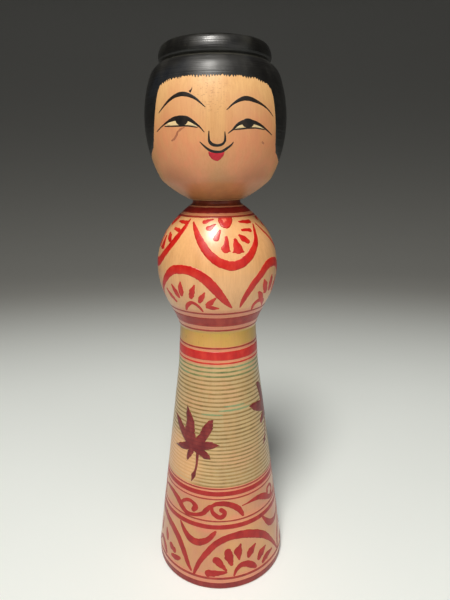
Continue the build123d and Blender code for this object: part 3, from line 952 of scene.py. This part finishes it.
LEFT_WHITE = [
    (-40.6, 207.6), (-37.2, 208.7), (-33.0, 209.5), (-29.0, 209.9), (-25.0, 209.9), (-21.5, 209.7),
    (-18.2, 209.0), (-14.9, 207.9), (-13.3, 206.8), (-20.0, 207.2), (-26.2, 207.3), (-34.0, 207.4)]
RIGHT_WHITE = [
    (12.6, 205.8), (15.7, 207.1), (19.1, 208.1), (22.6, 208.5), (26.3, 208.5), (30.9, 208.1),
    (36.0, 207.2), (38.9, 206.2), (31.1, 206.5), (24.2, 206.4), (17.8, 206.0)]
whites = Film("eye_whites", HEAD, "head", "head_wood", PALE, lift=0.006)
whites.patch(LEFT_WHITE, grid=0.6, rough=0.02)
whites.patch(RIGHT_WHITE, grid=0.6, rough=0.02)
whites.make()

LIPS = [
    (-6.0, 198.1), (-2.3, 197.7), (1.2, 197.5), (4.6, 197.7), (6.6, 198.1), (6.2, 196.8),
    (3.7, 195.3), (1.2, 194.6), (-1.0, 194.8), (-3.5, 195.4), (-5.6, 196.7)]
lips = Film("lip_ink", HEAD, "head", "red_ink", LIP_RED)
lips.patch(LIPS, grid=0.5, rough=0.03)
lips.make()

SCRATCH = [
    (-23.5, 206.8, 0.5), (-27.0, 206.0, 0.8), (-29.5, 205.2, 0.7), (-30.5, 204.0, 0.8),
    (-32.5, 203.0, 0.8), (-35.5, 202.3, 0.6)]
SPECK = [(38.4, 201.5, 0.8), (39.8, 201.1, 0.7)]
FLECK = [(-18.4, 219.2, 0.8), (-17.4, 219.9, 0.4), (-17.0, 220.6, 0.2)]
marks = Film("age_marks", HEAD, "head", "head_wood", STAIN, lift=0.012)
marks.stroke(SCRATCH, rough=0.15)
marks.stroke(SPECK, rough=0.1)
marks.make()
fleck = Film("ink_fleck", HEAD, "head", "black_ink", BLACK)
fleck.stroke(FLECK, rough=0.15, spacing=0.2)
fleck.make()

# ------------------------------------------------------------------ the hair

HAIR_EDGE = [
    (-180, 195.6), (-140, 195.4), (-100, 195.8), (-84, 195.9), (-76, 197.0), (-68, 198.6),
    (-61.4, 200.3), (-57.6, 203.0), (-54.8, 206.6), (-52.8, 210.2), (-51.4, 213.8), (-50.3, 217.4),
    (-49.3, 220.2), (-47.4, 222.4), (-44.2, 223.7), (-38.9, 224.5), (-32.1, 224.9), (-19.0, 225.1),
    (0.0, 225.1), (19.0, 225.0), (32.8, 224.6), (39.5, 223.7), (44.6, 222.6), (47.6, 220.6),
    (49.2, 218.1), (50.0, 215.3), (50.9, 211.7), (52.0, 208.1), (53.4, 204.4), (55.6, 200.7),
    (59.0, 198.0), (66.0, 196.3), (75.0, 194.6), (90, 194.8), (130, 195.2), (180, 195.6)]
FRINGE = 46.0              # degrees to each side that the brush's teeth show in the hair's edge
SIDE_LOCKS = 66.0          # degrees to each side where the edge has come down to the hem
ABOVE_EDGE = 226.2         # above this height the hair follows the head's own rings
THICKENS = 0.15            # how far above its edge the lacquer has its full lift
SPANS = 9                  # rows of faces between there and ABOVE_EDGE


def hair():
    """Black lacquer on the head's top, sides and back, from its brushed edge to the crown's middle."""
    film = Film("hair", HEAD, "head", "black_lacquer", lacquer(), lift=LACQUER)
    angles = []
    a = -180.0
    while a < 180.0:
        angles.append(a)
        side = abs(a)
        a += 0.27 if side < FRINGE + 1 else (0.22 if side < SIDE_LOCKS else 1.5)
    top = [z for z in HEAD[0] if z > ABOVE_EDGE + 0.3] + [ABOVE_EDGE]
    crown = sorted(set(round(float(z), 3) for z in top))
    fringe, nick = Wobble(), Wobble()
    across, up = zip(*HAIR_EDGE)
    columns = []
    for a in angles:
        edge = float(np.interp(a, across, up)) + 0.12 * fringe.at(a * 0.35)
        if abs(a) < FRINGE:
            teeth = abs((a * 0.46 + 0.35 * nick.at(a * 0.3)) % 1.0 - 0.5) * 2
            edge -= 0.2 + 1.35 * teeth * (0.6 + 0.4 * nick.at(a * 0.21 + 9))
        full = edge + THICKENS
        column = [edge] + [full + (ABOVE_EDGE - full) * k / SPANS for k in range(SPANS)]
        column += crown[:-1] + [HEAD_TOP - 0.002]
        columns.append([(a, z) for z in column])
    lifts = [0.0] + [LACQUER] * (len(columns[0]) - 1)
    film.sheet(columns, lifts, wrap=True)
    film.make()


hair()

# ------------------------------------------------------------------ stage, light and camera

BOWL_MIDDLE = -0.7         # the bowl is centred in front of the doll, under the lights
FLAT, WALL = 1.4, 2.0      # how far from its middle the floor stays flat, and how far the wall stands
BEND, RIM = 0.6, 2.6       # the heights where the bend ends and where the wall does


def floor_and_wall():
    """A pale paper bowl: a round floor that curves up into a wall far from the doll on every side, painted
    darker with distance as shade where the light falls off.
    """
    around, flats, bends, walls = 96, 14, 16, 5
    profile = [(FLAT * k / flats, 0.0) for k in range(1, flats + 1)]
    for k in range(1, bends + 1):
        t = math.pi / 2 * k / bends
        profile.append((FLAT + (WALL - FLAT) * math.sin(t), BEND * (1 - math.cos(t))))
    profile += [(WALL, BEND + (RIM - BEND) * k / walls) for k in range(1, walls + 1)]
    verts = [(0.0, BOWL_MIDDLE, 0.0)]
    for r, z in profile:
        for i in range(around):
            t = 2 * math.pi * i / around
            verts.append((r * math.sin(t), BOWL_MIDDLE + r * math.cos(t), z))
    faces = [[0, 1 + (i + 1) % around, 1 + i] for i in range(around)]
    for j in range(len(profile) - 1):
        low, high = 1 + j * around, 1 + (j + 1) * around
        for i in range(around):
            k = (i + 1) % around
            faces.append([low + i, low + k, high + k, high + i])
    mesh = bpy.data.meshes.new("floor")
    mesh.from_pydata(verts, [], faces)
    mesh.shade_smooth()
    n = Nodes("floor_paper_painted_falloff")
    fibre = n.noise(900, 3)
    # painted shade: the paper is laid pale near the doll, then grey, then near black far away
    away = n.math("SUBTRACT", n.distance((0.0, BOWL_MIDDLE, 0.0)), -BOWL_MIDDLE)
    near = n.mix(n.noise(6, 2), srgb(237, 242, 239), srgb(243, 248, 245))
    colour = n.mix(n.ramp(away, 0.18, 0.62), near, srgb(172, 172, 167))
    colour = n.mix(n.ramp(away, 0.50, 1.6), colour, srgb(54, 55, 53))
    rough = n.ramp(fibre, 0.3, 0.7, 0.55, 0.7)
    mesh.materials.append(n.finish(colour, rough, n.bump(fibre, 0.03, 0.0001)))
    floor = bpy.data.objects.new("floor", mesh)
    bpy.context.scene.collection.objects.link(floor)


def light(name, place_at, target, size, power, colour):
    """An oval area light that looks at a point."""
    data = bpy.data.lights.new(name, "AREA")
    data.shape, data.size, data.size_y = "ELLIPSE", size[0], size[1]
    data.energy, data.color = power, colour
    lamp = bpy.data.objects.new(name, data)
    lamp.location = place_at
    lamp.rotation_euler = (Vector(target) - Vector(place_at)).to_track_quat("-Z", "Y").to_euler()
    bpy.context.scene.collection.objects.link(lamp)


floor_and_wall()
# the key light hangs high in front; the soft one and the fill open up its shadows
light("key", (-0.095, -0.39, 0.92), (0, 0, 0.13), (0.22, 0.36), 8.0, (1.0, 0.97, 0.92))
light("soft", (-0.16, -0.80, 0.82), (0, 0, 0.1), (0.7, 0.7), 3.6, (1.0, 0.98, 0.95))
light("fill", (0.7, -0.8, 0.45), (0, 0, 0.1), (0.8, 0.8), 1.2, (1.0, 0.98, 0.94))
world = bpy.data.worlds.new("room")
world.use_nodes = True
world.node_tree.nodes["Background"].inputs["Color"].default_value = (0.77, 0.77, 0.77, 1.0)
world.node_tree.nodes["Background"].inputs["Strength"].default_value = 0.10
bpy.context.scene.world = world

CAMERA = Vector((0.0, -0.220, 0.1919))
PITCH, YAW, ROLL = math.radians(15.0), math.radians(0.87), math.radians(-0.47)
ahead = Vector((math.sin(YAW) * math.cos(PITCH), math.cos(YAW) * math.cos(PITCH), -math.sin(PITCH)))
level = Vector((math.cos(YAW), -math.sin(YAW), 0.0))
upright = level.cross(ahead)
right = level * math.cos(ROLL) + upright * math.sin(ROLL)
up = upright * math.cos(ROLL) - level * math.sin(ROLL)
camera_data = bpy.data.cameras.new("camera")
camera_data.lens, camera_data.sensor_width = 29.45, 36.0
camera_data.clip_start, camera_data.clip_end = 0.01, 20.0
camera = bpy.data.objects.new("camera", camera_data)
camera.matrix_world = Matrix.Translation(CAMERA) @ Matrix((right, up, -ahead)).transposed().to_4x4()
bpy.context.scene.collection.objects.link(camera)
bpy.context.scene.camera = camera
bpy.context.scene.view_settings.view_transform = "Standard"
